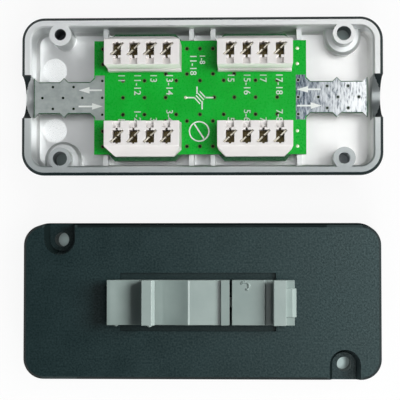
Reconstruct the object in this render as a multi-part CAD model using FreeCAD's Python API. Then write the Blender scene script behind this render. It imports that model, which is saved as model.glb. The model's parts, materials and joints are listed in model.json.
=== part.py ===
import FreeCAD, Part
import os

os.makedirs("parts", exist_ok=True)
V = FreeCAD.Vector

# Housing half, one moulding used for the base and for the cover
RIM_LENGTH = 98.0
RIM_WIDTH = 43.0
HALF_HEIGHT = 12.5
WALL = 2.6
FLOOR = 2.0
CORNER_RADIUS = 6.2
OUTER_DRAFT = 0.7
FACE_BEVEL = 0.7
RIM_BEVEL = 0.8
MOUTH_BEVEL = 0.4
CAVITY_BEVEL = 0.8

# Distance between the middles of the two halves as they lie side by side
HALVES_PITCH = 55.7

# Screw bosses, two with a through hole and an outside pocket, two with a blind pilot hole
SCREW_INSET_X = 10.5
SCREW_INSET_Y = 4.6
BOSS_RADIUS = 3.0
SCREW_HOLE = 3.9
PILOT_HOLE = 3.1
PILOT_DEPTH = 9.0
POCKET_DEPTH = 5.0
POCKET_RADIUS = 3.2
POCKET_FLARE = 1.0
POCKET_WALL = 1.8
POCKET_BEVEL = 0.7

# Round cable entries, half in each housing half
ENTRY_RADIUS = 5.9

# Circuit board
BOARD_LENGTH = 58.0
BOARD_MARGIN = 3.3
BOARD_THICKNESS = 1.6
BOARD_DROP = 3.7
BOARD_PLAY = 0.2
BOARD_SHIFT = -0.6
TAB_REACH = 1.8
TAB_CHAMFER = 1.7
TONGUE_LENGTH = 16.65
TONGUE_WIDTH = 11.0
TIE_NOTCH = 1.15

# Ribs that carry the board along both long walls
RIB_THICKNESS = 1.3
RIB_LAP = 2.0
RIB_SHOULDER = 1.0
RIB_PLACES = (2.95, 26.5)

# Terminal blocks
POLES = 4
POLE_PITCH = 4.4
BLOCK_END = 3.4
BLOCK_HEIGHT = 13.0
BLOCK_FOOT_DEPTH = 9.3
BLOCK_TOP_DEPTH = 6.7
BLOCK_LEDGE = 0.5
BLOCK_LEDGE_HEIGHT = 3.0
BLOCK_SKIRT = 3.8
BLOCK_CHAMFER = 2.0
BLOCK_GAP = 10.0
BLOCK_OVERHANG = 0.7
PIT_LENGTH = 3.4
PIT_WIDTH = 2.2
PIT_SETBACK = 2.4
PIT_DEPTH = 5.0
WIRE_SLOT = 0.6
WIRE_SLOT_DEPTH = 6.5
WIRE_SLOT_OVERRUN = 0.3
LEAD_IN_WIDTH = 2.0
LEAD_IN_LENGTH = 1.8
LEAD_IN_DEPTH = 0.5
LEAD_IN_FALL = 1.0

# Slotted wire contacts
CONTACT_THICKNESS = 0.4
CONTACT_WIDTH = 4.4
CONTACT_ANGLE = 44.0
CONTACT_DROP = 1.0
CONTACT_SLIT = 0.35
CONTACT_SLIT_DEPTH = 6.0
CONTACT_MOUTH = 0.6
CONTACT_MOUTH_DEPTH = 0.5
CONTACT_PLAY = 0.1
LEG_WIDTH = 0.8
LEG_TAIL = 1.2

# Mounting rail the clip takes, and where its middle lies along the cover
RAIL_WIDTH = 35.0
RAIL_THICKNESS = 1.0
RAIL_PLAY = 0.2
RAIL_OFFSET = 3.4

# Shallow recess in the back of the cover for the clip
RECESS_LENGTH = 42.0
RECESS_WIDTH = 15.7
RECESS_DEPTH = 1.0
RECESS_OFFSET = -1.0

# Rail clip, heights counted from the back of the cover
CLIP_WIDTH = 12.0
CLIP_PLAY = 0.2
SEAT_HEIGHT = 3.5
SEAT_LENGTH = 3.8
LIP_REACH = 1.9
LIP_HEIGHT = 2.5
LIP_CHAMFER = 0.8
HOOK_WALL = 1.5
THUMB_REACH = 9.4
THUMB_HEIGHT = 5.0
THUMB_DIP = 2.7
THUMB_THICKNESS = 2.2
THUMB_SAG = 0.3
BRIDGE_RIDGE = 6.9
BRIDGE_HEIGHT = 4.7
BRIDGE_SAG = 0.25
RIDGE_WIDTH = 0.45
RIDGE_FALL = 0.14
BRIDGE_LOW = 3.9
END_WALL = 2.25
END_WALL_HEIGHT = 4.9
BRIDGE_LENGTH = 15.7

# Snap lugs of the clip through windows in the cover
LUG_LENGTH = 1.8
LUG_WIDTH = 2.0
LUG_PLAY = 0.2
BARB_REACH = 0.6
BARB_HEIGHT = 1.0
BARB_GAP = 0.1

# Sliding latch of the clip
LATCH_GAP = 0.65
LATCH_TRAVEL = 3.5
LATCH_TOP = 4.2
LATCH_SLOPE = 0.3
LATCH_CHAMFER = 0.25
SLIDE_PLAY = 0.15
TUNNEL_WIDTH = 6.4
TUNNEL_HEIGHT = 1.6
TUNNEL_LENGTH = 14.8
NECK_WIDTH = 2.6
HEAD_LENGTH = 2.0
PULL_REACH = 2.3
PULL_TOP = 5.2
PULL_THICKNESS = 2.6
PAD_WIDTH = 7.6
PAD_RISE = 0.5
PAD_REACH = 0.5
PAD_SLOPE = 1.1
PAD_DROP = 0.7

# Folded return springs beside the neck of the latch
SPRING_RISE = 0.35
SPRING_FOLDS = 8
SPRING_PLAY = 0.1

# Places that follow from the sizes above
SCREW_X = RIM_LENGTH / 2 - SCREW_INSET_X
SCREW_Y = RIM_WIDTH / 2 - SCREW_INSET_Y
BOARD_WIDTH = RIM_WIDTH - 2 * (WALL + BOARD_MARGIN)
BOARD_TOP = HALF_HEIGHT - BOARD_DROP
BOARD_UNDER = BOARD_TOP - BOARD_THICKNESS
BLOCK_LENGTH = (POLES - 1) * POLE_PITCH + 2 * BLOCK_END
BLOCK_X = (BLOCK_GAP + BLOCK_LENGTH) / 2
ROW_Y = BOARD_WIDTH / 2 + BLOCK_OVERHANG - BLOCK_FOOT_DEPTH
CONTACT_Y = ROW_Y + BLOCK_LEDGE + PIT_SETBACK + PIT_LENGTH / 2
HOOK_FACE = RAIL_OFFSET - (RAIL_WIDTH + RAIL_PLAY) / 2
LATCH_FACE = RAIL_OFFSET + (RAIL_WIDTH + RAIL_PLAY) / 2
LIP_UNDER = SEAT_HEIGHT + RAIL_THICKNESS + RAIL_PLAY
LIP_TOP = LIP_UNDER + LIP_HEIGHT
BRIDGE_START = HOOK_FACE + SEAT_LENGTH
BRIDGE_END = BRIDGE_START + BRIDGE_LENGTH
CLIP_END = BRIDGE_END + END_WALL
LATCH_START = CLIP_END + LATCH_GAP
RECESS_RIGHT = RECESS_OFFSET + RECESS_LENGTH / 2
TUNNEL_START = BRIDGE_END - TUNNEL_LENGTH


def block(x0, x1, y0, y1, z0, z1):
    return Part.makeBox(x1 - x0, y1 - y0, z1 - z0, V(x0, y0, z0))


def outline(start, steps, lift):
    # A step is one point for a straight edge, or a passed point and an end for a round one
    edges = []
    here = lift(*start)
    for step in steps:
        stops = [lift(*point) for point in step]
        if len(stops) == 1:
            edges.append(Part.makeLine(here, stops[0]))
        else:
            edges.append(Part.Arc(here, *stops).toShape())
        here = stops[-1]
    return Part.Wire(edges)


def plate(points, z0, z1):
    corners = [V(x, y, z0) for x, y in points]
    return Part.Face(Part.makePolygon(corners + corners[:1])).extrude(V(0, 0, z1 - z0))


def side_prism(wire_steps, start, width):
    # Solid of constant section across the clip, its outline given in length and height
    wire = outline(start, wire_steps, lambda x, z: V(x, -width / 2, z))
    return Part.Face(wire).extrude(V(0, width, 0))


def cross_prism(section, x, length):
    # Solid of constant section along X, its corners given across and up
    corners = [V(x, y, z) for y, z in section]
    return Part.Face(Part.makePolygon(corners + corners[:1])).extrude(V(length, 0, 0))


def turned(shape):
    return shape.rotated(V(0, 0, 0), V(0, 0, 1), 180)


def rounded_outline(length, width, radius, z):
    x = length / 2 - radius
    y = width / 2 - radius
    corners = ((x, y, 0), (-x, y, 90), (-x, -y, 180), (x, -y, 270))
    arcs = [Part.makeCircle(radius, V(cx, cy, z), V(0, 0, 1), a, a + 90) for cx, cy, a in corners]
    edges = []
    for arc, following in zip(arcs, arcs[1:] + arcs[:1]):
        edges.append(arc)
        edges.append(Part.makeLine(arc.lastVertex().Point, following.firstVertex().Point))
    return Part.Wire(edges)


def inset_outline(inset, z):
    return rounded_outline(RIM_LENGTH - 2 * inset, RIM_WIDTH - 2 * inset, CORNER_RADIUS - inset, z)


def drafted_form(levels):
    # Straight-sided form through rounded outlines, each given by its inset from the rim and its height
    return Part.makeLoft([inset_outline(inset, z) for inset, z in levels], True, True)


def housing_body():
    levels = (
        (OUTER_DRAFT + FACE_BEVEL, 0),
        (OUTER_DRAFT, FACE_BEVEL),
        (0, HALF_HEIGHT - RIM_BEVEL),
        (RIM_BEVEL, HALF_HEIGHT),
    )
    return drafted_form(levels)


def housing_cavity():
    levels = (
        (WALL + CAVITY_BEVEL, FLOOR),
        (WALL, FLOOR + CAVITY_BEVEL),
        (WALL, HALF_HEIGHT - MOUTH_BEVEL),
        (WALL - MOUTH_BEVEL, HALF_HEIGHT),
    )
    return drafted_form(levels)


def pocket_outline(radius, z):
    steps = [
        [(radius, RIM_WIDTH)],
        [(-radius, RIM_WIDTH)],
        [(-radius, 0)],
        [(0, -radius), (radius, 0)],
    ]
    return outline((radius, 0), steps, lambda x, y: V(SCREW_X + x, SCREW_Y + y, z))


def pocket_space():
    mouth = pocket_outline(POCKET_RADIUS + POCKET_FLARE, 0)
    bottom = pocket_outline(POCKET_RADIUS, POCKET_DEPTH)
    return Part.makeLoft([mouth, bottom], True, True)


def pocket_shell():
    radius = POCKET_RADIUS + POCKET_WALL
    top = POCKET_DEPTH + POCKET_WALL
    levels = ((radius, 0), (radius, top - POCKET_BEVEL), (radius - POCKET_BEVEL, top))
    return Part.makeLoft([pocket_outline(size, z) for size, z in levels], True, True)


def board_ribs():
    ribs = []
    shelf_end = BOARD_WIDTH / 2 - RIB_LAP
    shoulder_end = BOARD_WIDTH / 2 + BOARD_PLAY
    wall_side = (RIM_WIDTH - WALL) / 2
    for place in RIB_PLACES:
        for x in (-place, place):
            x0 = x - RIB_THICKNESS / 2
            x1 = x + RIB_THICKNESS / 2
            ribs.append(block(x0, x1, shelf_end, wall_side, 0, BOARD_UNDER))
            ribs.append(block(x0, x1, shoulder_end, wall_side, 0, BOARD_UNDER + RIB_SHOULDER))
    return ribs


def housing_half():
    # Outside face down, open rim up, the same after half a turn in plan
    body = housing_body()
    boss = Part.makeCylinder(BOSS_RADIUS, HALF_HEIGHT, V(SCREW_X, SCREW_Y, 0))
    blind_boss = Part.makeCylinder(BOSS_RADIUS, HALF_HEIGHT, V(-SCREW_X, SCREW_Y, 0))
    inside = [boss, blind_boss, pocket_shell()] + board_ribs()
    inside = [piece.common(body) for piece in inside]
    pilot = Part.makeCylinder(PILOT_HOLE / 2, PILOT_DEPTH, V(-SCREW_X, SCREW_Y, HALF_HEIGHT - PILOT_DEPTH))
    through = Part.makeCylinder(SCREW_HOLE / 2, HALF_HEIGHT, V(SCREW_X, SCREW_Y, 0))
    removed = [pocket_space(), pilot, through]
    entries = Part.makeCylinder(
        ENTRY_RADIUS, 2 * RIM_LENGTH, V(-RIM_LENGTH, 0, HALF_HEIGHT), V(1, 0, 0)
    )
    half = body.cut(housing_cavity())
    half = half.fuse(inside + [turned(piece) for piece in inside])
    half = half.cut(removed + [turned(piece) for piece in removed] + [entries])
    return half.removeSplitter()


def lug_places():
    # Middle of each lug along and across the cover, and the way its barb points
    wall_middle = BRIDGE_END + END_WALL / 2
    side = (CLIP_WIDTH + TUNNEL_WIDTH) / 4
    hook_middle = HOOK_FACE - HOOK_WALL - LUG_LENGTH
    return [(x, y, way) for x, way in ((hook_middle, -1), (wall_middle, 1)) for y in (side, -side)]


def in_cover_place(shape):
    return shape.translated(V(0, -HALVES_PITCH / 2, HALF_HEIGHT))


def cover_housing(half):
    cover = half.rotated(V(0, 0, 0), V(1, 0, 0), 180)
    side = RECESS_WIDTH / 2
    recess = block(RECESS_RIGHT - RECESS_LENGTH, RECESS_RIGHT, -side, side, -RECESS_DEPTH, FLOOR)
    dx = LUG_LENGTH / 2 + LUG_PLAY
    dy = LUG_WIDTH / 2 + LUG_PLAY
    windows = [block(x - dx, x + dx, y - dy, y + dy, -2 * FLOOR, 0) for x, y, _ in lug_places()]
    return in_cover_place(cover.cut([recess] + windows))


def tongue_points():
    # Outer half outline of one tongue, with two tie notches that leave a pointed ear between them
    end = BOARD_LENGTH / 2 + TONGUE_LENGTH
    ear = (BOARD_LENGTH / 2 + end) / 2
    full = TONGUE_WIDTH / 2
    points = []
    for x0, x1 in ((BOARD_LENGTH / 2, ear), (ear, end)):
        points += [(x0, full), (x0 + TIE_NOTCH, full - TIE_NOTCH), (x1 - TIE_NOTCH, full - TIE_NOTCH)]
    return points + [(end, full)]


def tab_points():
    half_width = BOARD_WIDTH / 2
    x0 = BLOCK_X - BLOCK_LENGTH / 2
    x1 = BLOCK_X + BLOCK_LENGTH / 2
    outer = half_width + TAB_REACH
    return [
        (x1, half_width),
        (x1 - TAB_CHAMFER, outer),
        (x0 + TAB_CHAMFER, outer),
        (x0, half_width),
    ]


def board_outline():
    # One quarter from the end of the tongue round to the middle, then mirrored to the whole outline
    quarter = list(reversed(tongue_points())) + [(BOARD_LENGTH / 2, BOARD_WIDTH / 2)] + tab_points()
    upper = quarter + [(-x, y) for x, y in reversed(quarter)]
    return upper + [(x, -y) for x, y in reversed(upper)]


def contact_places():
    places = []
    for row in (1, -1):
        for side in (-1, 1):
            for pole in range(POLES):
                x = side * BLOCK_X + (pole - (POLES - 1) / 2) * POLE_PITCH
                places.append((x, row * CONTACT_Y))
    return places


def angled(shape, x, y):
    return shape.rotated(V(0, 0, 0), V(0, 0, 1), CONTACT_ANGLE).translated(V(x, y, 0))


def circuit_board():
    along = LEG_WIDTH / 2 + CONTACT_PLAY
    across = CONTACT_THICKNESS / 2 + CONTACT_PLAY
    leg_slot = block(-along, along, -across, across, BOARD_UNDER, BOARD_TOP)
    slots = [angled(leg_slot, x, y) for x, y in contact_places()]
    return plate(board_outline(), BOARD_UNDER, BOARD_TOP).cut(slots)


def block_body():
    # Body of one block with its inner foot edge on the X axis, its foot at height zero
    x = BLOCK_LENGTH / 2
    section = [
        (0, 0),
        (BLOCK_FOOT_DEPTH, 0),
        (BLOCK_FOOT_DEPTH, BLOCK_SKIRT),
        (BLOCK_LEDGE + BLOCK_TOP_DEPTH, BLOCK_HEIGHT),
        (BLOCK_LEDGE, BLOCK_HEIGHT),
        (BLOCK_LEDGE, BLOCK_LEDGE_HEIGHT),
        (0, BLOCK_LEDGE_HEIGHT),
    ]
    plan = [
        (-x, 0),
        (x, 0),
        (x, BLOCK_FOOT_DEPTH - BLOCK_CHAMFER),
        (x - BLOCK_CHAMFER, BLOCK_FOOT_DEPTH),
        (BLOCK_CHAMFER - x, BLOCK_FOOT_DEPTH),
        (-x, BLOCK_FOOT_DEPTH - BLOCK_CHAMFER),
    ]
    return cross_prism(section, -x, BLOCK_LENGTH).common(plate(plan, 0, BLOCK_HEIGHT))


def pole_space(x):
    # Pit, wire slot, lead-in and contact slot of one pole
    top = BLOCK_HEIGHT
    pit_start = BLOCK_LEDGE + PIT_SETBACK
    pit_end = pit_start + PIT_LENGTH
    slot_half = WIRE_SLOT / 2
    lead_half = LEAD_IN_WIDTH / 2
    pit_half = PIT_WIDTH / 2
    contact_half = CONTACT_WIDTH / 2 + CONTACT_PLAY
    contact_side = CONTACT_THICKNESS / 2 + CONTACT_PLAY
    middle = CONTACT_Y - ROW_Y
    lead_end = BLOCK_LEDGE + LEAD_IN_LENGTH
    lead_low = top - LEAD_IN_DEPTH
    lead_section = [
        (0, top),
        (0, lead_low),
        (BLOCK_LEDGE, lead_low),
        (lead_end, lead_low - LEAD_IN_FALL),
        (lead_end, top),
    ]
    slot_end = pit_end + WIRE_SLOT_OVERRUN
    contact_slot = block(-contact_half, contact_half, -contact_side, contact_side, 0, top)
    return [
        block(x - pit_half, x + pit_half, pit_start, pit_end, top - PIT_DEPTH, top),
        block(x - slot_half, x + slot_half, lead_end, slot_end, top - WIRE_SLOT_DEPTH, top),
        cross_prism(lead_section, x - lead_half, LEAD_IN_WIDTH),
        angled(contact_slot, x, middle),
    ]


def terminal_block():
    spaces = []
    for pole in range(POLES):
        spaces += pole_space((pole - (POLES - 1) / 2) * POLE_PITCH)
    return block_body().cut(spaces).removeSplitter().translated(V(0, ROW_Y, BOARD_TOP))


def wire_contact():
    # Flat fork in its own plane, then turned to the contact angle, the board top at height zero
    half = CONTACT_WIDTH / 2
    slit = CONTACT_SLIT / 2
    mouth = CONTACT_MOUTH / 2
    leg = LEG_WIDTH / 2
    top = BLOCK_HEIGHT - CONTACT_DROP
    tail = -BOARD_THICKNESS - LEG_TAIL
    right = [
        (leg, tail),
        (leg, 0),
        (half, 0),
        (half, top),
        (mouth, top),
        (slit, top - CONTACT_MOUTH_DEPTH),
        (slit, top - CONTACT_SLIT_DEPTH),
    ]
    points = right + [(-u, z) for u, z in reversed(right)]
    corners = [V(u, -CONTACT_THICKNESS / 2, z) for u, z in points]
    fork = Part.Face(Part.makePolygon(corners + corners[:1])).extrude(V(0, CONTACT_THICKNESS, 0))
    return fork.translated(V(0, 0, BOARD_TOP))


def lugs():
    # Each lug starts at the clip foot and ends in a barb behind the cover floor
    foot = -RECESS_DEPTH
    barb_top = -FLOOR - BARB_GAP
    tip = barb_top - BARB_HEIGHT
    dx = LUG_LENGTH / 2
    steps = [
        [(-dx, tip)],
        [(dx, tip)],
        [(dx + BARB_REACH, barb_top)],
        [(dx, barb_top)],
        [(dx, foot)],
        [(-dx, foot)],
    ]
    lug = side_prism(steps, (-dx, foot), LUG_WIDTH)
    return [(lug if way > 0 else turned(lug)).translated(V(x, y, 0)) for x, y, way in lug_places()]


def rail_clip():
    foot = -RECESS_DEPTH
    foot_left = RECESS_RIGHT - RECESS_LENGTH + CLIP_PLAY
    hook_back = HOOK_FACE - HOOK_WALL
    lip_tip = HOOK_FACE + LIP_REACH
    thumb = hook_back - THUMB_REACH
    ridge = BRIDGE_START + BRIDGE_RIDGE
    rise_x = (BRIDGE_START + ridge) / 2
    rise_z = (SEAT_HEIGHT + BRIDGE_HEIGHT) / 2 - BRIDGE_SAG
    steps = [
        [(CLIP_END, foot)],
        [(CLIP_END, END_WALL_HEIGHT)],
        [(BRIDGE_END, END_WALL_HEIGHT)],
        [(BRIDGE_END, BRIDGE_LOW)],
        [(ridge + RIDGE_WIDTH, BRIDGE_HEIGHT - RIDGE_FALL)],
        [(ridge, BRIDGE_HEIGHT)],
        [(rise_x, rise_z), (BRIDGE_START, SEAT_HEIGHT)],
        [(HOOK_FACE, SEAT_HEIGHT)],
        [(HOOK_FACE, LIP_UNDER)],
        [(lip_tip, LIP_UNDER)],
        [(lip_tip, LIP_TOP - LIP_CHAMFER)],
        [(lip_tip - LIP_CHAMFER, LIP_TOP)],
        [(hook_back, LIP_TOP)],
        [(hook_back, THUMB_DIP)],
        [((thumb + hook_back) / 2, (THUMB_DIP + THUMB_HEIGHT) / 2 - THUMB_SAG), (thumb, THUMB_HEIGHT)],
        [(thumb, THUMB_HEIGHT - THUMB_THICKNESS)],
        [(foot_left, CLIP_PLAY)],
        [(foot_left, foot)],
    ]
    clip = side_prism(steps, (foot_left, foot), CLIP_WIDTH)
    half = TUNNEL_WIDTH / 2
    passage = NECK_WIDTH / 2 + SLIDE_PLAY
    tunnel = block(TUNNEL_START, BRIDGE_END, -half, half, foot, TUNNEL_HEIGHT)
    mouth = block(BRIDGE_END, CLIP_END, -passage, passage, foot, TUNNEL_HEIGHT)
    return in_cover_place(clip.cut([tunnel, mouth]).fuse(lugs()).removeSplitter())


def rail_latch():
    foot = SLIDE_PLAY - RECESS_DEPTH
    foot_right = RECESS_RIGHT - LATCH_TRAVEL - CLIP_PLAY
    seat_start = LATCH_FACE - SEAT_LENGTH
    lip_tip = LATCH_FACE - LIP_REACH
    hook_back = LATCH_FACE + HOOK_WALL
    pull = hook_back + PULL_REACH
    steps = [
        [(foot_right, foot)],
        [(foot_right, CLIP_PLAY)],
        [(hook_back, CLIP_PLAY)],
        [(hook_back, PULL_TOP - PULL_THICKNESS)],
        [(pull, PULL_TOP - PULL_THICKNESS)],
        [(pull, PULL_TOP)],
        [(hook_back, PULL_TOP)],
        [(hook_back, LIP_TOP)],
        [(lip_tip + LATCH_CHAMFER, LIP_TOP)],
        [(lip_tip, LIP_TOP - LATCH_CHAMFER)],
        [(lip_tip, LIP_UNDER)],
        [(LATCH_FACE, LIP_UNDER)],
        [(LATCH_FACE, SEAT_HEIGHT)],
        [(seat_start, SEAT_HEIGHT)],
        [(seat_start - LATCH_SLOPE, LATCH_TOP)],
        [(LATCH_START, LATCH_TOP)],
        [(LATCH_START, foot)],
    ]
    latch = side_prism(steps, (LATCH_START, foot), CLIP_WIDTH)
    pad_end = pull + PAD_REACH
    pad_top = PULL_TOP + PAD_RISE
    pad_steps = [
        [(pad_end, PULL_TOP - PULL_THICKNESS)],
        [(pad_end, pad_top - PAD_DROP)],
        [(pad_end - PAD_SLOPE, pad_top)],
        [(hook_back, pad_top)],
        [(hook_back, PULL_TOP - PULL_THICKNESS)],
    ]
    pad = side_prism(pad_steps, (hook_back, PULL_TOP - PULL_THICKNESS), PAD_WIDTH)
    head_x = TUNNEL_START + SLIDE_PLAY
    neck = NECK_WIDTH / 2
    head = TUNNEL_WIDTH / 2 - SLIDE_PLAY
    top = TUNNEL_HEIGHT - SLIDE_PLAY
    added = [
        pad,
        block(head_x, LATCH_START, -neck, neck, foot, top),
        block(head_x, head_x + HEAD_LENGTH, -head, head, foot, top),
    ]
    return in_cover_place(latch.fuse(added).removeSplitter())


def spring_strip():
    # Folded strip between the head of the latch and the end wall of the clip
    x0 = TUNNEL_START + SLIDE_PLAY + HEAD_LENGTH + SPRING_PLAY
    x1 = BRIDGE_END - SPRING_PLAY
    y0 = NECK_WIDTH / 2 + SLIDE_PLAY + SPRING_PLAY
    y1 = TUNNEL_WIDTH / 2 - SPRING_PLAY - SPRING_RISE
    pitch = (x1 - x0) / SPRING_FOLDS
    front = [(x0 + fold * pitch, (y0, y1)[fold % 2]) for fold in range(SPRING_FOLDS + 1)]
    back = [(x, y + SPRING_RISE) for x, y in reversed(front)]
    return plate(front + back, SLIDE_PLAY - RECESS_DEPTH, TUNNEL_HEIGHT - SLIDE_PLAY)


def latch_spring():
    strip = spring_strip()
    return in_cover_place(Part.makeCompound([strip, strip.mirror(V(0, 0, 0), V(0, 1, 0))]))


def in_base_place(shape):
    return shape.translated(V(0, HALVES_PITCH / 2, 0))


def in_board_place(shape):
    return in_base_place(shape.translated(V(BOARD_SHIFT, 0, 0)))


def save(node, shape):
    shape.exportStep("parts/" + node + ".step")


half = housing_half()
save("base_housing", in_base_place(half))
save("cover_housing", cover_housing(half))
save("circuit_board", in_board_place(circuit_board()))

# Blocks one and two face the far row, three and four the near row
far_block = terminal_block()
for number, (shape, x) in enumerate(
    ((far_block, -BLOCK_X), (far_block, BLOCK_X), (turned(far_block), -BLOCK_X), (turned(far_block), BLOCK_X))
):
    save("terminal_block_%d" % (number + 1), in_board_place(shape.translated(V(x, 0, 0))))

contact = wire_contact()
for number, (x, y) in enumerate(contact_places()):
    save("wire_contact_%02d" % (number + 1), in_board_place(angled(contact, x, y)))

save("rail_clip", rail_clip())
save("rail_latch", rail_latch())
save("latch_spring", latch_spring())
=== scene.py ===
import json
import math

import bmesh
import bpy
from mathutils import Matrix, Vector

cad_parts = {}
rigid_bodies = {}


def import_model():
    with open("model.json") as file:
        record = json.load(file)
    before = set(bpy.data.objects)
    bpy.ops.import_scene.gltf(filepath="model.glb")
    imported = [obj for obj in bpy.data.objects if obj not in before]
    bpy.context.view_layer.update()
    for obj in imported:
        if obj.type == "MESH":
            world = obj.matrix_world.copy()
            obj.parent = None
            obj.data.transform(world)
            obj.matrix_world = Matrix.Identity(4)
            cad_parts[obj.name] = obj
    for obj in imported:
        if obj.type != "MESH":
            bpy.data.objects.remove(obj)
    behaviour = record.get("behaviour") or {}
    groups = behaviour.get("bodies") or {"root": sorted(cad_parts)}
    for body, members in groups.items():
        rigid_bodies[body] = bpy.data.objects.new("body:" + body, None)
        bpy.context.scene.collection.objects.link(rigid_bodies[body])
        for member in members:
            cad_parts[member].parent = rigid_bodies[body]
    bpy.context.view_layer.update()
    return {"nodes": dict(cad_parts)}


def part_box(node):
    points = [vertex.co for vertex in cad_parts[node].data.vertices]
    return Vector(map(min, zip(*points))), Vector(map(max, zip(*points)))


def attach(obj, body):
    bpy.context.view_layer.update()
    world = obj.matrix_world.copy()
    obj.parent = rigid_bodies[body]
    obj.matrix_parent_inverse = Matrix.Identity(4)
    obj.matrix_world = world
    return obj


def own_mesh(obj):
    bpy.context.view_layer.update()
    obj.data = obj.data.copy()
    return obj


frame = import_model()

NODES = frame["nodes"]
MM = 0.001

# Sizes repeated from the part, in mm
CORNER_RADIUS = 6.2
WALL = 2.6
FLOOR = 2.0
SCREW_X = 38.5
SCREW_Y = 16.9
POCKET_DEPTH = 5.0
ENTRY_RADIUS = 5.9
BOARD_LENGTH = 58.0
BOARD_WIDTH = 31.2
TONGUE_LENGTH = 16.65
TONGUE_HALF = 5.5
TIE_NOTCH = 1.15
BLOCK_X = 15.0
POLE_PITCH = 4.4
PIT_WIDTH = 2.2
PIT_LENGTH = 3.4
PIT_DEPTH = 5.0
RECESS_DEPTH = 1.0
LATCH_STEP = 4.2


def extent(node):
    low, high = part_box(node)
    return low / MM, high / MM


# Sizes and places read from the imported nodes, in mm
TRAY_LOW, TRAY_HIGH = extent("base_housing")
RIM_LENGTH = TRAY_HIGH.x - TRAY_LOW.x
RIM_WIDTH = TRAY_HIGH.y - TRAY_LOW.y
HALF_HEIGHT = TRAY_HIGH.z
HALF_Y = (TRAY_LOW.y + TRAY_HIGH.y) / 2
WALL_INSIDE = RIM_LENGTH / 2 - WALL
BOARD_LOW, BOARD_HIGH = extent("circuit_board")
BOARD_X = (BOARD_LOW.x + BOARD_HIGH.x) / 2
BOARD_Y = (BOARD_LOW.y + BOARD_HIGH.y) / 2
BOARD_TOP = BOARD_HIGH.z
BLOCK_TOP = extent("terminal_block_1")[1].z


class Net:
    """The node tree of one material, built around its Principled shader."""

    def __init__(self, name):
        self.material = bpy.data.materials.new(name)
        self.material.use_nodes = True
        self.tree = self.material.node_tree
        self.shader = self.tree.nodes["Principled BSDF"]
        self.place = self.node("ShaderNodeTexCoord").outputs["Object"]

    def node(self, kind, **settings):
        made = self.tree.nodes.new(kind)
        for key, value in settings.items():
            setattr(made, key, value)
        return made

    def feed(self, socket, value):
        if isinstance(value, bpy.types.NodeSocket):
            self.tree.links.new(value, socket)
        else:
            socket.default_value = value

    def set(self, **inputs):
        for key, value in inputs.items():
            if isinstance(value, tuple) and len(value) == 3:
                value = (*value, 1.0)
            self.feed(self.shader.inputs[key.replace("_", " ")], value)
        return self

    def math(self, operation, first, second=0.0):
        made = self.node("ShaderNodeMath", operation=operation)
        self.feed(made.inputs[0], first)
        self.feed(made.inputs[1], second)
        return made.outputs[0]

    def axes(self, vector=None):
        made = self.node("ShaderNodeSeparateXYZ")
        self.feed(made.inputs[0], vector or self.place)
        return made.outputs

    def noise(self, size, detail, stretch=(1, 1, 1), rough=0.5):
        mapped = self.node("ShaderNodeMapping")
        self.feed(mapped.inputs["Vector"], self.place)
        mapped.inputs["Scale"].default_value = [1 / s for s in stretch]
        made = self.node("ShaderNodeTexNoise")
        self.feed(made.inputs["Vector"], mapped.outputs[0])
        made.inputs["Scale"].default_value = 1 / (size * MM)
        made.inputs["Detail"].default_value = detail
        made.inputs["Roughness"].default_value = rough
        return made.outputs["Fac"]

    def spread(self, value, low, high, start=0.3, end=0.7):
        # From low to high as the value goes from start to end
        made = self.node("ShaderNodeMapRange")
        for socket, entry in zip(made.inputs, (value, start, end, low, high)):
            self.feed(socket, entry)
        return made.outputs[0]

    def rise(self, value, start, end):
        # From 0 to 1 as a length goes from start to end, in mm
        return self.spread(value, 0.0, 1.0, start * MM, end * MM)

    def between(self, mask, low, high):
        # From low to high as the mask goes from 0 to 1
        return self.spread(mask, low, high, 0.0, 1.0)

    def near(self, value, place, reach):
        # 1 where a length is less than the reach away from a place, in mm
        gap = self.math("SUBTRACT", value, place * MM)
        return self.math("LESS_THAN", self.math("ABSOLUTE", gap), reach * MM)

    def both(self, first, second):
        return self.math("MULTIPLY", first, second)

    def ramp(self, value, *stops):
        made = self.node("ShaderNodeValToRGB")
        elements = made.color_ramp.elements
        while len(elements) < len(stops):
            elements.new(0.5)
        for element, (place, colour) in zip(elements, stops):
            element.position = place
            element.color = (*colour, 1.0)
        self.feed(made.inputs[0], value)
        return made.outputs[0]

    def mix(self, factor, first, second):
        made = self.node("ShaderNodeMix", data_type="RGBA")
        for socket, entry in ((made.inputs[0], factor), (made.inputs[6], first), (made.inputs[7], second)):
            if isinstance(entry, tuple):
                entry = (*entry, 1.0)
            self.feed(socket, entry)
        return made.outputs[2]

    def bump(self, height, depth):
        made = self.node("ShaderNodeBump")
        made.inputs["Distance"].default_value = depth * MM
        self.feed(made.inputs["Height"], height)
        self.feed(self.shader.inputs["Normal"], made.outputs[0])
        return self

    def normal(self):
        return self.axes(self.node("ShaderNodeNewGeometry").outputs["True Normal"])


# Materials

# Reach of the cover's screw pockets from their holes and from the cover's middle line, in mm
POCKET_SIDE = 4.8
POCKET_END = 20.8

# Where the bright coat changes, in mm: bare plastic in the entries, and the right end and its wall, painted
# brighter as painted light
BARE_BOW = 2.3
BARE_START = 0.08
BARE_WAVER = 0.12
BARE_FADE = 0.08
BRIGHT_FLOOR_START, BRIGHT_FLOOR_END = 24.0, 34.0
END_WALL_START, END_WALL_END = 44.0, 45.5
END_WALL_RISE = 6.0

# Heights in mm over which the walls' tone and roughness begin, above the floor, and the rim's tone, below the rim
TONE_START, TONE_END = 0.3, 2.5
ROUGH_START, ROUGH_END = 0.02, 0.5
LIP_START, LIP_END = 0.7, 0.4


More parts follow.
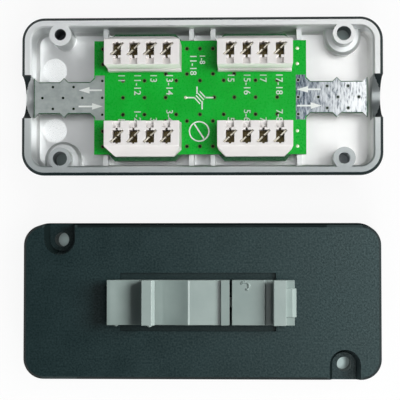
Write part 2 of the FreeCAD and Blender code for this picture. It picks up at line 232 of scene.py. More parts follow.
def black_plastic():
    # Spark-eroded on the flat faces, smooth and darker on bevels and walls, and painted darker in the clip's
    # recess as painted shade
    net = Net("black_plastic")
    x, y, height = net.axes()
    facing = net.normal()
    up = net.math("ABSOLUTE", facing[2])
    # The clip's recess is painted darker, as painted shade
    recess_shade = net.near(height, HALF_HEIGHT - RECESS_DEPTH, 0.1)
    eroded = net.math("SUBTRACT", net.spread(up, 0.0, 1.0, 0.80, 0.95), net.both(recess_shade, 0.55))
    bevel = net.spread(up, 0.0, 0.25, 0.2, 0.5)
    grain = net.noise(0.5, 3.0)
    cloud = net.noise(7.0, 3.0)
    fine = net.ramp(grain, (0.3, (0.0020, 0.0090, 0.0100)), (0.7, (0.0070, 0.0220, 0.0235)))
    broad = net.ramp(cloud, (0.3, (0.0030, 0.0125, 0.0135)), (0.7, (0.0050, 0.0180, 0.0195)))
    smooth = net.ramp(cloud, (0.3, (0.0050, 0.0100, 0.0105)), (0.7, (0.0090, 0.0150, 0.0155)))

    # Walls of the cover's screw pockets, with painted light: paler where they face left
    pocket = net.near(net.math("ABSOLUTE", x), SCREW_X, POCKET_SIDE)
    pocket = net.both(pocket, net.near(y, -HALF_Y, POCKET_END))
    pocket_floor = HALF_HEIGHT - POCKET_DEPTH
    pocket = net.both(pocket, net.math("GREATER_THAN", height, (pocket_floor - 0.1) * MM))
    leftward = net.spread(facing[0], 1.0, 0.0, -0.6, 0.3)
    painted_pocket_wall_light = net.ramp(leftward, (0.0, (0.008, 0.014, 0.014)), (1.0, (0.070, 0.100, 0.102)))
    smooth = net.mix(pocket, smooth, painted_pocket_wall_light)
    net.set(
        Base_Color=net.mix(eroded, smooth, net.mix(0.5, fine, broad)),
        Roughness=net.spread(cloud, 0.36, 0.42),
        Specular_IOR_Level=net.between(eroded, bevel, net.spread(grain, 0.26, 0.56)),
        Specular_Tint=(0.80, 1.0, 1.0),
    )
    return net.bump(grain, 0.02).material


def metal_coat():
    # Bright coat of the inside, with bare plastic in the entries and a duller right entry; painted light makes
    # the right end brighter and painted shade makes the rim duller
    net = Net("metal_coat")
    x, y, height = net.axes()
    cloud = net.noise(7.0, 3.0)
    peel = net.noise(0.55, 2.0)

    # Bare black plastic in the round entries, beyond a bow across each
    off = net.math("SUBTRACT", net.math("ABSOLUTE", y), HALF_Y * MM)
    across = net.math("DIVIDE", off, ENTRY_RADIUS * MM)
    bow = net.math("SUBTRACT", 1.0, net.both(across, across))
    past = net.math("SUBTRACT", net.math("ABSOLUTE", x), (WALL_INSIDE + BARE_START) * MM)
    past = net.math("ADD", past, net.spread(net.noise(0.8, 2.0), -BARE_WAVER * MM, BARE_WAVER * MM))
    darker_part = net.rise(net.math("SUBTRACT", past, net.both(bow, BARE_BOW * MM)), 0.0, BARE_FADE)
    round_entry = net.math("GREATER_THAN", bow, 0.0)
    notch = net.both(darker_part, round_entry)

    # Floor and walls, painted brighter at the right end as painted light, where the floor's tone goes on up the
    # wall
    wall = net.ramp(cloud, (0.3, (0.69, 0.71, 0.71)), (0.7, (0.74, 0.76, 0.76)))
    ground = net.ramp(cloud, (0.3, (0.85, 0.86, 0.86)), (0.7, (0.90, 0.91, 0.91)))
    # Brighter tone of the right end is painted light
    painted_bright_floor = net.ramp(cloud, (0.3, (0.91, 0.91, 0.90)), (0.7, (0.95, 0.95, 0.94)))
    ground = net.mix(net.rise(x, BRIGHT_FLOOR_START, BRIGHT_FLOOR_END), ground, painted_bright_floor)
    end_wall = net.rise(x, END_WALL_START, END_WALL_END)
    level = net.math("SUBTRACT", height, net.both(end_wall, END_WALL_RISE * MM))
    coat = net.mix(net.rise(level, FLOOR + TONE_START, FLOOR + TONE_END), ground, wall)

    # Rim, with painted shade: darker towards the near side and the right end
    along = net.rise(y, TRAY_LOW.y, TRAY_HIGH.y)
    painted_lip_left = net.ramp(
        along,
        (0.00, (0.420, 0.455, 0.458)),
        (0.29, (0.600, 0.630, 0.630)),
        (0.65, (0.930, 0.940, 0.940)),
        (1.00, (0.880, 0.900, 0.900)),
    )
    painted_lip_right = net.ramp(
        along,
        (0.00, (0.300, 0.325, 0.328)),
        (0.29, (0.440, 0.465, 0.465)),
        (0.65, (0.620, 0.630, 0.625)),
        (1.00, (0.640, 0.650, 0.645)),
    )
    painted_lip = net.mix(net.rise(x, TRAY_LOW.x, TRAY_HIGH.x), painted_lip_left, painted_lip_right)
    top = net.rise(height, HALF_HEIGHT - LIP_START, HALF_HEIGHT - LIP_END)
    coat = net.mix(top, coat, painted_lip)

    # Dull right entry
    dull_end = net.both(round_entry, net.rise(x, WALL_INSIDE - 0.1, WALL_INSIDE))
    coat = net.mix(dull_end, coat, (0.36, 0.39, 0.39))

    # Walls are rougher than the floor, except the right end wall, which is less metallic
    matt = net.both(notch, 0.2)
    cast = net.math("SUBTRACT", end_wall, net.math("MAXIMUM", top, dull_end))
    metallic = net.between(cast, 0.9, 0.15)
    risen = net.spread(height, 0.0, 0.17, (FLOOR + ROUGH_START) * MM, (FLOOR + ROUGH_END) * MM)
    risen = net.both(risen, net.between(net.math("SUBTRACT", end_wall, top), 1.0, -0.6))
    net.set(
        Base_Color=net.mix(notch, coat, (0.006, 0.010, 0.011)),
        Metallic=net.both(net.math("SUBTRACT", 1.0, notch), metallic),
        Roughness=net.math("ADD", net.spread(peel, 0.29, 0.37), net.math("MAXIMUM", matt, risen)),
        Specular_IOR_Level=net.between(notch, 0.5, 0.15),
    )
    return net.material


def bore_grey():
    # Thin, dull coat in the bores of the screw holes, dark in the cover; the base's near right bore is painted
    # pale as painted light
    net = Net("bore_grey")
    x, y = net.axes()[:2]
    cloud = net.noise(0.6, 2.0)
    dull = net.ramp(cloud, (0.3, (0.15, 0.17, 0.18)), (0.7, (0.20, 0.22, 0.23)))
    # Paler colour of the base's near right bore is painted light
    painted_light_bore = net.ramp(cloud, (0.3, (0.50, 0.53, 0.54)), (0.7, (0.60, 0.63, 0.64)))
    near_right = net.both(net.near(y, HALF_Y - SCREW_Y, 4.0), net.math("GREATER_THAN", x, 0.0))
    cover = net.math("LESS_THAN", y, 0.0)
    body = net.mix(cover, net.mix(near_right, dull, painted_light_bore), (0.014, 0.018, 0.019))
    return net.set(Base_Color=body, Metallic=0.5, Roughness=net.spread(cloud, 0.38, 0.50)).material


def solder_mask():
    # Bright green on the flat faces, darker on the side tabs and the tongues, dark laminate on the cut edges
    net = Net("solder_mask")
    x, y = net.axes()[:2]
    flat = net.math("GREATER_THAN", net.math("ABSOLUTE", net.normal()[2]), 0.5)
    across = net.math("ABSOLUTE", net.math("SUBTRACT", y, BOARD_Y * MM))
    along = net.math("ABSOLUTE", net.math("SUBTRACT", x, BOARD_X * MM))
    tab = net.rise(across, BOARD_WIDTH / 2 - 0.1, BOARD_WIDTH / 2 + 0.1)
    tongue = net.rise(along, BOARD_LENGTH / 2 + 0.05, BOARD_LENGTH / 2 + 0.15)
    cloud = net.noise(6.0, 3.0)
    weave = net.noise(0.5, 2.0)
    green = net.ramp(cloud, (0.3, (0.000, 0.345, 0.019)), (0.7, (0.003, 0.410, 0.031)))
    # Darker green of the side tabs and the tongues
    darker_part = net.ramp(weave, (0.35, (0.010, 0.060, 0.024)), (0.65, (0.024, 0.095, 0.038)))
    edge = net.ramp(weave, (0.35, (0.016, 0.055, 0.022)), (0.65, (0.040, 0.090, 0.035)))
    face = net.mix(net.math("MAXIMUM", tab, tongue), green, darker_part)
    net.set(
        Base_Color=net.mix(flat, edge, face),
        Roughness=net.spread(weave, 0.24, 0.34),
        Specular_IOR_Level=0.3,
    )
    return net.bump(weave, 0.006).material


def white_plastic():
    net = Net("white_plastic")
    cloud = net.noise(5.0, 3.0)
    grain = net.noise(0.3, 2.0)
    body = net.ramp(cloud, (0.3, (0.78, 0.75, 0.73)), (0.7, (0.83, 0.80, 0.78)))
    net.set(Base_Color=body, Roughness=net.spread(grain, 0.38, 0.50))
    return net.bump(grain, 0.006).material


def contact_metal(name, dark, light):
    net = Net(name)
    drawn = net.noise(0.25, 3.0, stretch=(1, 1, 12))
    cloud = net.noise(1.5, 3.0)
    body = net.ramp(cloud, (0.3, dark), (0.7, light))
    net.set(Base_Color=body, Metallic=0.75, Roughness=net.spread(drawn, 0.28, 0.42))
    return net.bump(drawn, 0.004).material


# Where the clip's thumb ends and the latch's pull begins along X, and the height above the cover where the raised
# lips are painted lighter as painted light, in mm
THUMB_START, THUMB_END = -17.2, -15.6
PULL_START, PULL_END = 22.6, 23.4
LIP_LIGHT_START, LIP_LIGHT_END = 4.9, 5.6


def grey_plastic():
    # Painted light on the raised lips, painted shade on the thumb, and duller on the thumb and on the pull
    net = Net("grey_plastic")
    place = net.axes()
    cloud = net.noise(6.0, 3.0)
    grain = net.noise(0.25, 3.0)
    body = net.ramp(cloud, (0.3, (0.225, 0.285, 0.268)), (0.7, (0.255, 0.315, 0.296)))
    # Paler colour for the raised lips is painted light; darker colour for the thumb is painted shade
    painted_light_lips = net.ramp(cloud, (0.3, (0.275, 0.340, 0.320)), (0.7, (0.305, 0.370, 0.350)))
    painted_shade_thumb = net.ramp(cloud, (0.3, (0.185, 0.235, 0.220)), (0.7, (0.210, 0.260, 0.245)))
    lip_light_mask = net.rise(place[2], HALF_HEIGHT + LIP_LIGHT_START, HALF_HEIGHT + LIP_LIGHT_END)
    thumb = net.spread(place[0], 1.0, 0.0, THUMB_START * MM, THUMB_END * MM)
    dull = net.math("MAXIMUM", thumb, net.rise(place[0], PULL_START, PULL_END))
    net.set(
        Base_Color=net.mix(thumb, net.mix(lip_light_mask, body, painted_light_lips), painted_shade_thumb),
        Roughness=net.math("ADD", net.spread(grain, 0.28, 0.36), net.both(dull, 0.2)),
        Specular_IOR_Level=net.between(dull, 0.5, 0.1),
    )
    return net.bump(grain, 0.005).material


def spring_steel():
    net = Net("spring_steel")
    drawn = net.noise(0.2, 3.0, stretch=(8, 1, 1))
    body = net.ramp(drawn, (0.3, (0.42, 0.42, 0.43)), (0.7, (0.58, 0.58, 0.59)))
    net.set(Base_Color=body, Metallic=1.0, Roughness=net.spread(drawn, 0.25, 0.4))
    return net.bump(drawn, 0.004).material


def tin_left():
    # Dull, evenly flowed tin
    net = Net("tin_dull")
    flow = net.noise(1.6, 3.0)
    body = net.ramp(flow, (0.35, (0.30, 0.335, 0.325)), (0.65, (0.37, 0.405, 0.395)))
    net.set(Base_Color=body, Metallic=0.35, Roughness=net.spread(flow, 0.42, 0.52))
    return net.bump(flow, 0.01).material


# Where the right tongue's tin goes from thin to thick, from the middle of the board, in mm
TIN_THIN, TIN_THICK = 27.8, 41.5
TIN_WAVER = 0.9


def tin_right():
    # Thin and dark beside the strip, thick and bright with drawn streaks further out
    net = Net("tin_bright")
    out = net.math("SUBTRACT", net.axes()[0], BOARD_X * MM)
    waver = net.spread(net.noise(1.6, 3.0), -TIN_WAVER * MM, TIN_WAVER * MM)
    thick = net.rise(net.math("ADD", out, waver), TIN_THIN, TIN_THICK)
    flow = net.noise(0.7, 4.0, stretch=(0.6, 3.0, 1), rough=0.6)
    streaks = net.ramp(flow, (0.34, (0.36, 0.40, 0.44)), (0.54, (0.84, 0.86, 0.87)))
    thin = net.ramp(flow, (0.44, (0.07, 0.10, 0.14)), (0.66, (0.50, 0.54, 0.58)))
    net.set(
        Base_Color=net.mix(thick, thin, streaks),
        Metallic=0.6,
        Roughness=net.spread(flow, 0.24, 0.38),
    )
    return net.bump(flow, 0.012).material


def solder():
    net = Net("solder")
    cloud = net.noise(0.4, 2.0)
    body = net.ramp(cloud, (0.3, (0.62, 0.70, 0.50)), (0.7, (0.80, 0.86, 0.68)))
    return net.set(Base_Color=body, Metallic=0.5, Roughness=net.spread(cloud, 0.25, 0.38)).material


def ink():
    net = Net("white_ink")
    grain = net.noise(0.12, 2.0)
    net.set(
        Base_Color=net.ramp(grain, (0.3, (0.70, 0.73, 0.70)), (0.7, (0.84, 0.86, 0.84))),
        Roughness=net.spread(grain, 0.5, 0.65),
    )
    return net.bump(grain, 0.004).material


def plated_ring():
    net = Net("plated_ring")
    cloud = net.noise(0.3, 2.0)
    body = net.ramp(cloud, (0.3, (0.055, 0.085, 0.022)), (0.7, (0.120, 0.140, 0.050)))
    return net.set(Base_Color=body, Metallic=0.3, Roughness=net.spread(cloud, 0.35, 0.5)).material


def painted_hole_shade():
    net = Net("painted_hole_shade")
    cloud = net.noise(0.3, 2.0)
    body = net.ramp(cloud, (0.3, (0.004, 0.010, 0.005)), (0.7, (0.012, 0.020, 0.010)))
    return net.set(Base_Color=body, Roughness=net.spread(cloud, 0.6, 0.8), Specular_IOR_Level=0.0).material


def pin_mark():
    net = Net("pin_mark")
    grain = net.noise(0.2, 2.0)
    body = net.ramp(grain, (0.3, (0.90, 0.92, 0.92)), (0.7, (0.95, 0.96, 0.96)))
    net.set(Base_Color=body, Metallic=0.8, Roughness=net.spread(grain, 0.26, 0.34))
    return net.bump(grain, 0.004).material


BLACK = black_plastic()
BORE = bore_grey()
COAT = metal_coat()
GREEN = solder_mask()
WHITE = white_plastic()
BRONZE = contact_metal("contact_tinned", (0.70, 0.65, 0.52), (0.88, 0.84, 0.72))
# Bronze of the contact shoulders, painted dark as painted shade of the pits
SHOULDER_PAINTED_SHADE = contact_metal("contact_bronze", (0.10, 0.075, 0.03), (0.20, 0.16, 0.075))
GREY = grey_plastic()
STEEL = spring_steel()
TIN_LEFT = tin_left()
TIN_RIGHT = tin_right()
SOLDER = solder()
INK = ink()
RING = plated_ring()
HOLE_SHADE = painted_hole_shade()
MARK = pin_mark()


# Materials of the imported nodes


def paint(node, *materials):
    mesh = NODES[node].data
    mesh.materials.clear()
    for material in materials:
        mesh.materials.append(material)
    return mesh


def rim_inset(x, y):
    # How far a point of the plan lies inside the rounded rim outline
    dx = abs(x) - (RIM_LENGTH / 2 - CORNER_RADIUS)
    dy = abs(y) - (RIM_WIDTH / 2 - CORNER_RADIUS)
    outside = math.hypot(max(dx, 0), max(dy, 0))
    return CORNER_RADIUS - outside - min(max(dx, dy), 0)


# What tells the looks of a half apart, in mm: the depth of the black skin of the rim, the same in the
# entries, how far a bore and a pocket reach from the middle of their hole, and a small play
SKIN = 0.75
ENTRY_SKIN = 0.72
BORE_REACH = 2.1
POCKET_REACH = 4.3
PLAY = 0.05


def inside_look(x, y, z):
    # A point of a half with its outer face at height zero; the half is the same after half a turn
    if z > HALF_HEIGHT - PLAY:
        return COAT
    inset = rim_inset(x, y)
    if z < FLOOR - PLAY or inset < SKIN:
        entry = abs(x) > WALL_INSIDE and abs(y) < ENTRY_RADIUS and z > FLOOR
        return COAT if entry and inset > ENTRY_SKIN else BLACK
    for side in (1, -1):
        u = side * x - SCREW_X
        v = side * y - SCREW_Y
        hole = math.hypot(u, v)
        blind = math.hypot(side * x + SCREW_X, v)
        pocket = abs(u) if v > 0 else hole
        if min(hole, blind) < BORE_REACH:
            return BORE
        if pocket < POCKET_REACH and z < POCKET_DEPTH + PLAY:
            return BLACK
    return COAT


def paint_half(node, middle, flipped):
    looks = [BLACK, COAT, BORE]
    mesh = paint(node, *looks)
    for face in mesh.polygons:
        x, y, z = face.center / MM
        y -= middle
        if flipped:
            y, z = -y, HALF_HEIGHT - z
        face.material_index = looks.index(inside_look(x, y, z))


paint_half("base_housing", HALF_Y, False)
paint_half("cover_housing", -HALF_Y, True)
paint("circuit_board", GREEN)
for number in range(1, 5):
    paint("terminal_block_%d" % number, WHITE)
for number in range(1, 17):
    paint("wire_contact_%02d" % number, BRONZE)
paint("rail_clip", GREY)
paint("rail_latch", GREY)
paint("latch_spring", STEEL)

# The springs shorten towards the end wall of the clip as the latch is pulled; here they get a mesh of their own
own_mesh(NODES["latch_spring"])


def soften(node, width, angle):
    # Small round on the sharp edges of a moulded piece
    weld = NODES[node].modifiers.new("weld", "WELD")
    weld.merge_threshold = 0.001 * MM
    bevel = NODES[node].modifiers.new("round", "BEVEL")
    bevel.width = width * MM
    bevel.segments = 2
    bevel.limit_method = "ANGLE"
    bevel.angle_limit = math.radians(angle)


CLIP_ROUND = 0.14
BLOCK_ROUND = 0.10
soften("rail_clip", CLIP_ROUND, 20)
soften("rail_latch", CLIP_ROUND, 20)
for number in range(1, 5):
    soften("terminal_block_%d" % number, BLOCK_ROUND, 30)


# Pieces of the surface


def piece(name, shape, material, body="module"):
    mesh = bpy.data.meshes.new(name)
    bmesh.ops.recalc_face_normals(shape, faces=shape.faces)
    shape.to_mesh(mesh)
    shape.free()
    mesh.materials.append(material)
    made = bpy.data.objects.new(name, mesh)
    bpy.context.scene.collection.objects.link(made)
    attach(made, body)


def slab(shape, points, z, height):
    # Closed thin plate of a plan outline
    low = [shape.verts.new((x * MM, y * MM, z * MM)) for x, y in points]
    high = [shape.verts.new((x * MM, y * MM, (z + height) * MM)) for x, y in points]
    shape.faces.new(list(reversed(low)))
    shape.faces.new(high)
    for i in range(len(points)):
        j = (i + 1) % len(points)
        shape.faces.new((low[i], low[j], high[j], high[i]))


def circle(x, y, radius, count):
    turns = [2 * math.pi * i / count for i in range(count)]
    return [(x + radius * math.cos(a), y + radius * math.sin(a)) for a in turns]


def ring(shape, x, y, inner, outer, z, height, count=24):
    loops = []
    for radius, level in ((outer, z), (outer, z + height), (inner, z + height), (inner, z)):
        outline = circle(x, y, radius, count)
        loops.append([shape.verts.new((a * MM, b * MM, level * MM)) for a, b in outline])
    for first, second in zip(loops, loops[1:] + loops[:1]):
        for i in range(count):
            j = (i + 1) % count
            shape.faces.new((first[i], first[j], second[j], second[i]))


def bar(shape, x0, y0, x1, y1, width, z, height):
    along = Vector((x1 - x0, y1 - y0)).normalized() * width / 2
    side = Vector((-along.y, along.x))
    corners = [(x0, y0, 1), (x0, y0, -1), (x1, y1, -1), (x1, y1, 1)]
    slab(shape, [(x + s * side.x, y + s * side.y) for x, y, s in corners], z, height)


def lump(shape, place, radius, stretch, segments, rings):
    # Ball drawn out along the axes
    matrix = Matrix.Translation(Vector(place) * MM) @ Matrix.Diagonal((*stretch, 1))
    bmesh.ops.create_uvsphere(shape, u_segments=segments, v_segments=rings, radius=radius * MM, matrix=matrix)


def on_board(points):
    return [(x + BOARD_X, y + BOARD_Y) for x, y in points]


# Tinned tongues and the strips at their roots
TONGUE_ROOT = BOARD_LENGTH / 2
TONGUE_END = TONGUE_ROOT + TONGUE_LENGTH
EAR = (TONGUE_ROOT + TONGUE_END) / 2
STRIP_INNER = 26.15
STRIP_HALF = 6.15
TIN_EDGE = 0.24
TIN_HEIGHT = 0.03


def tin_points():
    edge = []
    inside = TONGUE_HALF - TIN_EDGE
    waist = inside - TIE_NOTCH
    for x0, x1 in ((TONGUE_ROOT, EAR), (EAR, TONGUE_END - TIN_EDGE)):
        edge += [(x0, inside), (x0 + TIE_NOTCH, waist), (x1 - TIE_NOTCH, waist)]
    edge.append((TONGUE_END - TIN_EDGE, inside))
    root = TONGUE_ROOT - TIN_EDGE
    upper = [(STRIP_INNER, STRIP_HALF), (root, STRIP_HALF), (root, inside)] + edge[1:]
    return upper + [(x, -y) for x, y in reversed(upper)]


for name, side, material in (("tin_area_left", -1, TIN_LEFT), ("tin_area_right", 1, TIN_RIGHT)):
    shape = bmesh.new()
    slab(shape, on_board([(side * x, y) for x, y in tin_points()]), BOARD_TOP, TIN_HEIGHT)
    piece(name, shape, material)

# Plated through holes, mirrored to all four quarters, and some at the left end only
VIA_RADIUS = 0.37
VIA_RING = 0.57
RING_HEIGHT = 0.045
HOLE_HEIGHT = 0.036
VIA_PLACES = (
    (9.4, 0), (15.2, 0), (21.1, 0), (26.8, 0), (32.3, 0), (37.6, 0), (43.3, 0),
    (34.7, 3.0), (40.4, 3.0),
    (0, 4.65), (6.5, 4.65), (15.2, 4.65), (21.1, 4.65), (26.8, 4.65),
    (3.55, 6.45), (9.35, 6.45), (0, 13.4), (3.55, 13.4),
)
FILL_PLACES = ((26.6, 9.2), (26.6, 13.4), (26.6, -9.2), (26.6, -13.4), (-3.9, 0))
vias = {(sx * x, sy * y) for x, y in VIA_PLACES for sx in (1, -1) for sy in (1, -1)}
vias |= {(-x, y) for x, y in FILL_PLACES}
rings = bmesh.new()
tin_rings = bmesh.new()
holes = bmesh.new()
for x, y in sorted(vias):
    around = tin_rings if abs(x) > STRIP_INNER and abs(y) < STRIP_HALF else rings
    ring(around, x + BOARD_X, y + BOARD_Y, VIA_RADIUS, VIA_RING, BOARD_TOP, RING_HEIGHT)
    # Dark discs on the board stand in for the holes, as painted shade
    slab(holes, on_board(circle(x, y, VIA_RADIUS, 16)), BOARD_TOP, HOLE_HEIGHT)
piece("via_rings", rings, RING)
piece("tinned_via_rings", tin_rings, TIN_LEFT)
piece("via_hole_shade", holes, HOLE_SHADE)

# Shoulders of the contacts at the bottom of the pits, their bronze painted darker as painted shade of the deep
# pits
SHOULDER_GAP = 0.05
SHOULDER_LIFT = 0.01
SHOULDER_HEIGHT = 0.3
shoulders = bmesh.new()
for number in range(1, 17):
    low, high = extent("wire_contact_%02d" % number)
    x = (low.x + high.x) / 2
    y = (low.y + high.y) / 2
    dx = PIT_WIDTH / 2 - SHOULDER_GAP
    dy = PIT_LENGTH / 2 - SHOULDER_GAP
    corners = [(x - dx, y - dy), (x + dx, y - dy), (x + dx, y + dy), (x - dx, y + dy)]
    slab(shoulders, corners, BLOCK_TOP - PIT_DEPTH + SHOULDER_LIFT, SHOULDER_HEIGHT)
piece("contact_shoulders", shoulders, SHOULDER_PAINTED_SHADE)

# Solder-filled holes, each across the middle from an open one
FILL_RADIUS = 0.45
FILL_FLATNESS = 0.25
fills = bmesh.new()
for x, y in FILL_PLACES:
    lump(fills, (x + BOARD_X, y + BOARD_Y, BOARD_TOP), FILL_RADIUS, (1, 1, FILL_FLATNESS), 14, 8)
piece("solder_fills", fills, SOLDER)

# White print: pole numbers, arrows and plain marks
PRINT = 0.05
PRINT_SWELL = 0.03
TEXT_HEIGHT = 2.6
TEXT_Y = 6.7
ARROW_HALF = 0.9
ARROW_LINE = 0.45
printed = bmesh.new()


def add_text(words, x, y, height=TEXT_HEIGHT):
    curve = bpy.data.curves.new("words", "FONT")
    curve.body = words
    curve.size = height * MM
    curve.extrude = PRINT / 2 * MM
    curve.resolution_u = 3
    curve.offset = PRINT_SWELL * MM
    curve.align_x = "LEFT" if y > 0 else "RIGHT"
    curve.align_y = "CENTER"
    made = bpy.data.objects.new("words", curve)
    bpy.context.scene.collection.objects.link(made)
    mesh = bpy.data.meshes.new_from_object(made)
    spot = Vector((x + BOARD_X, y + BOARD_Y, BOARD_TOP + PRINT / 2)) * MM
    mesh.transform(Matrix.Translation(spot) @ Matrix.Rotation(-math.pi / 2, 4, "Z"))
    printed.from_mesh(mesh)
    bpy.data.objects.remove(made)
    bpy.data.curves.remove(curve)
    bpy.data.meshes.remove(mesh)


def stroke(x0, y0, x1, y1, width):
    bar(printed, x0 + BOARD_X, y0 + BOARD_Y, x1 + BOARD_X, y1 + BOARD_Y, width, BOARD_TOP, PRINT)


def arrow(tip, base, tail, y):
    head = [(tip, y), (base, y + ARROW_HALF), (base, y - ARROW_HALF)]
    slab(printed, on_board(head), BOARD_TOP, PRINT)
    stroke(base, y, tail, y, ARROW_LINE)


POLE_X = [side * BLOCK_X + (pole - 1.5) * POLE_PITCH for side in (-1, 1) for pole in range(4)]
for number, x in enumerate(POLE_X):
    for tens, y in ((10, TEXT_Y), (0, -TEXT_Y)):
        pole = tens + number + 1
        add_text("%d" % pole if number % 2 == 0 else "%d-%d" % (pole - 1, pole), x, y)
for tip, base, tail, y in (
    (-33.3, -30.3, -26.9, 2.1),
    (-26.7, -29.6, -33.3, -2.35),
    (26.4, 29.5, 32.9, 2.1),
    (33.2, 30.2, 26.5, -2.35),
):
    arrow(tip, base, tail, y)

# Struck-out ring, a hatched symbol with four leads, and the two number ranges
ring(printed, BOARD_X - 0.2, BOARD_Y - 9.3, 2.48, 2.84, BOARD_TOP, PRINT, 40)
stroke(-1.5, -7.3, 1.1, -11.3, 0.42)
for shift in (-0.8, -0.27, 0.27, 0.8):
    stroke(shift - 0.8, shift + 0.85, shift + 0.8, shift - 0.95, 0.3)
for x0, y0, x1, y1 in (
    (-0.8, 3.0, -0.8, 1.0),
    (0.6, -1.0, 0.6, -3.25),
    (-3.9, -0.05, -1.5, -0.05),
    (1.4, -0.05, 3.7, -0.05),
):
    stroke(x0, y0, x1, y1, 0.38)
RANGE_Y = 11.9
add_text("11-18", -1.9, RANGE_Y, 2.5)
add_text("1-8", 0.6, RANGE_Y, 2.1)
piece("board_print", printed, INK)

# Flat ejector marks on the inside floors
MARK_X = -41.4
MARK_Y = 8.4
MARK_RADIUS = 3.35
MARK_HEIGHT = 0.05
marks = bmesh.new()
for y in (-MARK_Y, MARK_Y):
    for middle, level in ((HALF_Y, FLOOR), (-HALF_Y, HALF_HEIGHT - FLOOR - MARK_HEIGHT)):
        slab(marks, circle(MARK_X, y + middle, MARK_RADIUS, 48), level, MARK_HEIGHT)
piece("ejector_marks", marks, MARK)

# Torn gate on the latch: a broken ring of lumps that opens outwards
GATE_X = 11.8
GATE_Y = 4.25 - HALF_Y
GATE_RADIUS = 0.95
GATE_GROWTH = 0.06
GATE_LUMP = 0.24
GATE_RIPPLE = 0.08
GATE_HEIGHT = 0.28
LATCH_TOP = LATCH_STEP + HALF_HEIGHT
gate = bmesh.new()
for turn in range(-3, 8):
    angle = math.pi * turn / 9
    radius = GATE_RADIUS * (1 + GATE_GROWTH * turn)
    size = GATE_LUMP + GATE_RIPPLE * math.sin(4 * angle)
    place = (GATE_X + radius * math.cos(angle), GATE_Y + radius * math.sin(angle), LATCH_TOP)
    lump(gate, place, size, (1.3, 1.3, GATE_HEIGHT / size), 10, 6)
piece("gate_mark", gate, GREY, "latch")

# Two nubs of flash along the near edge of the clip
NUB_RADIUS = 0.4
CLIP_LOW, CLIP_HIGH = extent("rail_clip")
nubs = bmesh.new()
for x, z in ((-22.9, 15.9), (-13.6, CLIP_HIGH.z - NUB_RADIUS)):
    lump(nubs, (x, CLIP_LOW.y, z), NUB_RADIUS, (1.6, 1.0, 0.9), 16, 10)
piece("flash_nubs", nubs, GREY)

# Floor, light and camera
REACH = 6.0
FLOOR_DROP = 0.02 * MM

# How far the painted shade of the floor under a half stays inside its outline at the ends and the sides, in mm
UNDER_ENDS = 1.0
UNDER_SIDES = 1.4

# Share of the glow on the open floor, and what a half takes from it, away from a screw hole and at one
OPEN_SHARE = 0.9
TAKEN_AWAY = 0.86
TAKEN_AT_HOLE = 0.40

# Brightness of the floor in each screw hole, painted light; in the cover's right hole it fades across the hole,
# lengths in mm
BASE_LEFT_HOLE = 0.04
BASE_RIGHT_HOLE = 0.25
COVER_LEFT_HOLE = 0.32
COVER_RIGHT_HOLE = (2.2, 0.25)
FADE_START, FADE_END = 37.0, 39.6
HOLE_CORE, HOLE_EDGE = 0.4, 2.8


def floor_look():
    # Near white to the camera and in mirrors; painted shade under the halves, and painted light where it shows
    # through the screw holes
    net = Net("floor")
    x, y = net.axes()[:2]
    off = net.math("ABSOLUTE", net.math("SUBTRACT", net.math("ABSOLUTE", y), HALF_Y * MM))
    under = net.math("LESS_THAN", off, (RIM_WIDTH / 2 - UNDER_SIDES) * MM)
    under = net.both(net.near(x, 0.0, WALL_INSIDE - UNDER_ENDS), under)
    # Painted shade of the floor under the halves, darker under the base's left end
    base_left = net.both(net.math("LESS_THAN", x, 0.0), net.math("GREATER_THAN", y, 0.0))
    painted_under_shade = net.mix(base_left, (0.35, 0.37, 0.37), (0.06, 0.07, 0.07))
    net.set(
        Base_Color=net.mix(under, (0.93, 0.93, 0.93), painted_under_shade),
        Roughness=0.9,
        Specular_IOR_Level=0.1,
    )
    glow = net.node("ShaderNodeEmission")
    glow.inputs["Strength"].default_value = 1.0
    net.feed(glow.inputs["Color"], net.mix(under, (1.0, 1.0, 1.0), (0.80, 1.0, 0.98)))

    # Painted light: each hole lets its share of the glow through, less towards the hole's edge
    right = net.rise(x, 0.0, 1.0)
    fade = net.spread(x, *COVER_RIGHT_HOLE, FADE_START * MM, FADE_END * MM)
    base_gain = net.between(right, BASE_LEFT_HOLE, BASE_RIGHT_HOLE)
    cover_gain = net.between(right, COVER_LEFT_HOLE, fade)
    gain = net.between(net.math("LESS_THAN", y, 0.0), base_gain, cover_gain)
    aside = net.math("SUBTRACT", net.math("ABSOLUTE", x), SCREW_X * MM)
    beyond = net.math("SUBTRACT", off, SCREW_Y * MM)
    away = net.math("ADD", net.both(aside, aside), net.both(beyond, beyond))
    away = net.math("SQRT", away)
    spot = net.both(gain, net.spread(away, 1.0, 0.0, HOLE_CORE * MM, HOLE_EDGE * MM))
    taken = net.both(under, net.between(spot, TAKEN_AWAY, TAKEN_AT_HOLE))
    share = net.math("SUBTRACT", OPEN_SHARE, taken)

    ray = net.node("ShaderNodeLightPath").outputs
    seen = net.math("MAXIMUM", ray["Is Glossy Ray"], ray["Is Transmission Ray"])
    seen = net.math("MAXIMUM", ray["Is Camera Ray"], seen)
    blend = net.node("ShaderNodeMixShader")
    net.feed(blend.inputs[0], net.both(seen, share))
    net.feed(blend.inputs[1], net.shader.outputs[0])
    net.feed(blend.inputs[2], glow.outputs[0])
    net.feed(net.tree.nodes["Material Output"].inputs["Surface"], blend.outputs[0])
    return net.material


floor_mesh = bpy.data.meshes.new("floor")
corners = [(x * REACH, y * REACH, -FLOOR_DROP) for x, y in ((-1, -1), (1, -1), (1, 1), (-1, 1))]
floor_mesh.from_pydata(corners, [], [range(4)])
floor_mesh.materials.append(floor_look())
floor = bpy.data.objects.new("floor", floor_mesh)
bpy.context.scene.collection.objects.link(floor)

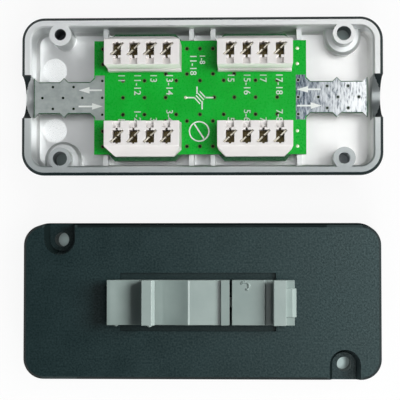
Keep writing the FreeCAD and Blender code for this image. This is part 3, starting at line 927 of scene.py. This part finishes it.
# Faint studio light, a little brighter towards the horizon
SKY_STOPS = ((0.05, (0.28, 0.29, 0.30, 1)), (0.85, (0.075, 0.085, 0.09, 1)))
world = bpy.data.worlds.new("studio")
bpy.context.scene.world = world
world.use_nodes = True
sky = world.node_tree
background = sky.nodes["Background"]
background.inputs["Strength"].default_value = 1.0
direction = sky.nodes.new("ShaderNodeTexCoord").outputs["Generated"]
split = sky.nodes.new("ShaderNodeSeparateXYZ")
shade = sky.nodes.new("ShaderNodeValToRGB")
for element, (place, colour) in zip(shade.color_ramp.elements, SKY_STOPS):
    element.position = place
    element.color = colour
sky.links.new(direction, split.inputs[0])
sky.links.new(split.outputs[2], shade.inputs[0])
sky.links.new(shade.outputs[0], background.inputs["Color"])

COVER_PIECES = ("cover_housing", "rail_clip", "rail_latch", "latch_spring", "gate_mark", "flash_nubs")


def gather(name, pieces):
    # The pieces that a lamp lights, and no others
    group = bpy.data.collections.new(name)
    for made in pieces:
        group.objects.link(made)
    return group


BOARD = NODES["circuit_board"]
solid = [made for made in bpy.context.scene.objects if made.type == "MESH"]
BASE_HALF = gather("base_half", [made for made in solid if made.name not in COVER_PIECES])
COVER_HALF = gather("cover_half", [made for made in solid if made.name in COVER_PIECES])
MARKS_ONLY = gather("marks_only", [made for made in solid if made.name == "ejector_marks"])
HOUSING_ONLY = gather("housing_only", [NODES["base_housing"]])
BOARD_ONLY = gather("board_only", [BOARD])
BESIDE_BOARD = gather("beside_board", [made for made in BASE_HALF.objects if made != BOARD])


def lamp(name, place, size, power, lights, lit=True, mirrored=True):
    data = bpy.data.lights.new(name, "AREA")
    data.shape = "RECTANGLE"
    data.size, data.size_y = size
    data.energy = power
    made = bpy.data.objects.new(name, data)
    made.light_linking.receiver_collection = lights
    made.visible_diffuse = lit
    made.visible_glossy = mirrored
    made.location = place
    made.rotation_mode = "QUATERNION"
    made.rotation_quaternion = (-Vector(place)).to_track_quat("-Z", "Y")
    bpy.context.scene.collection.objects.link(made)


# The two halves were photographed apart, so each has its own lamps and its own panels to mirror. The board
# has a key of its own, the base housing a lamp for its right end wall, and the ejector marks a panel
lamp("base_key", (0.69, 0.00, 0.96), (1.40, 1.40), 11.2, BESIDE_BOARD, mirrored=False)
lamp("base_panel", (0.46, 0.00, 0.64), (0.46, 0.46), 4.3, BESIDE_BOARD, lit=False)
lamp("base_front", (0.10, -0.72, 0.38), (0.6, 0.4), 6.2, BESIDE_BOARD, mirrored=False)
lamp("board_key", (0.25, 0.00, 0.74), (0.20, 0.40), 4.9, BOARD_ONLY, mirrored=False)
lamp("base_overhead", (0.28, 0.02, 0.72), (0.60, 0.65), 0.86, BASE_HALF, lit=False)
lamp("base_side", (-0.38, 0.05, 0.62), (0.30, 0.60), 0.28, BASE_HALF, lit=False)
lamp("base_right", (0.72, 0.02, 0.40), (0.50, 0.70), 0.70, BASE_HALF, lit=False)
lamp("housing_left", (-0.56, 0.03, 0.70), (0.50, 0.60), 2.8, HOUSING_ONLY, mirrored=False)
lamp("marks_panel", (-0.16, 0.10, 0.70), (0.50, 0.50), 0.46, MARKS_ONLY, lit=False)
lamp("cover_key", (0.60, 0.10, 0.50), (0.44, 0.44), 9.8, COVER_HALF)
lamp("cover_overhead", (0.36, 0.00, 0.70), (0.46, 0.60), 3.3, COVER_HALF, lit=False)

# Camera nearly straight above, a compromise between the two shots
EYE = Vector((12.75, -13.65, 377.3)) * MM
AIM = Vector((-0.45, -0.35, 12.5)) * MM
VIEW_WIDTH = 108.0 * MM
camera = bpy.data.cameras.new("camera")
camera.sensor_width = 36.0
camera.lens = camera.sensor_width * (EYE - AIM).length / VIEW_WIDTH
camera.clip_start = 0.01
camera.clip_end = 50.0
eye = bpy.data.objects.new("camera", camera)
eye.location = EYE
eye.rotation_mode = "QUATERNION"
ahead = (AIM - EYE).normalized()
right = ahead.cross(Vector((0, 1, 0))).normalized()
eye.rotation_quaternion = Matrix((right, right.cross(ahead), -ahead)).transposed().to_quaternion()
bpy.context.scene.collection.objects.link(eye)
bpy.context.scene.camera = eye
bpy.context.scene.view_settings.view_transform = "Standard"
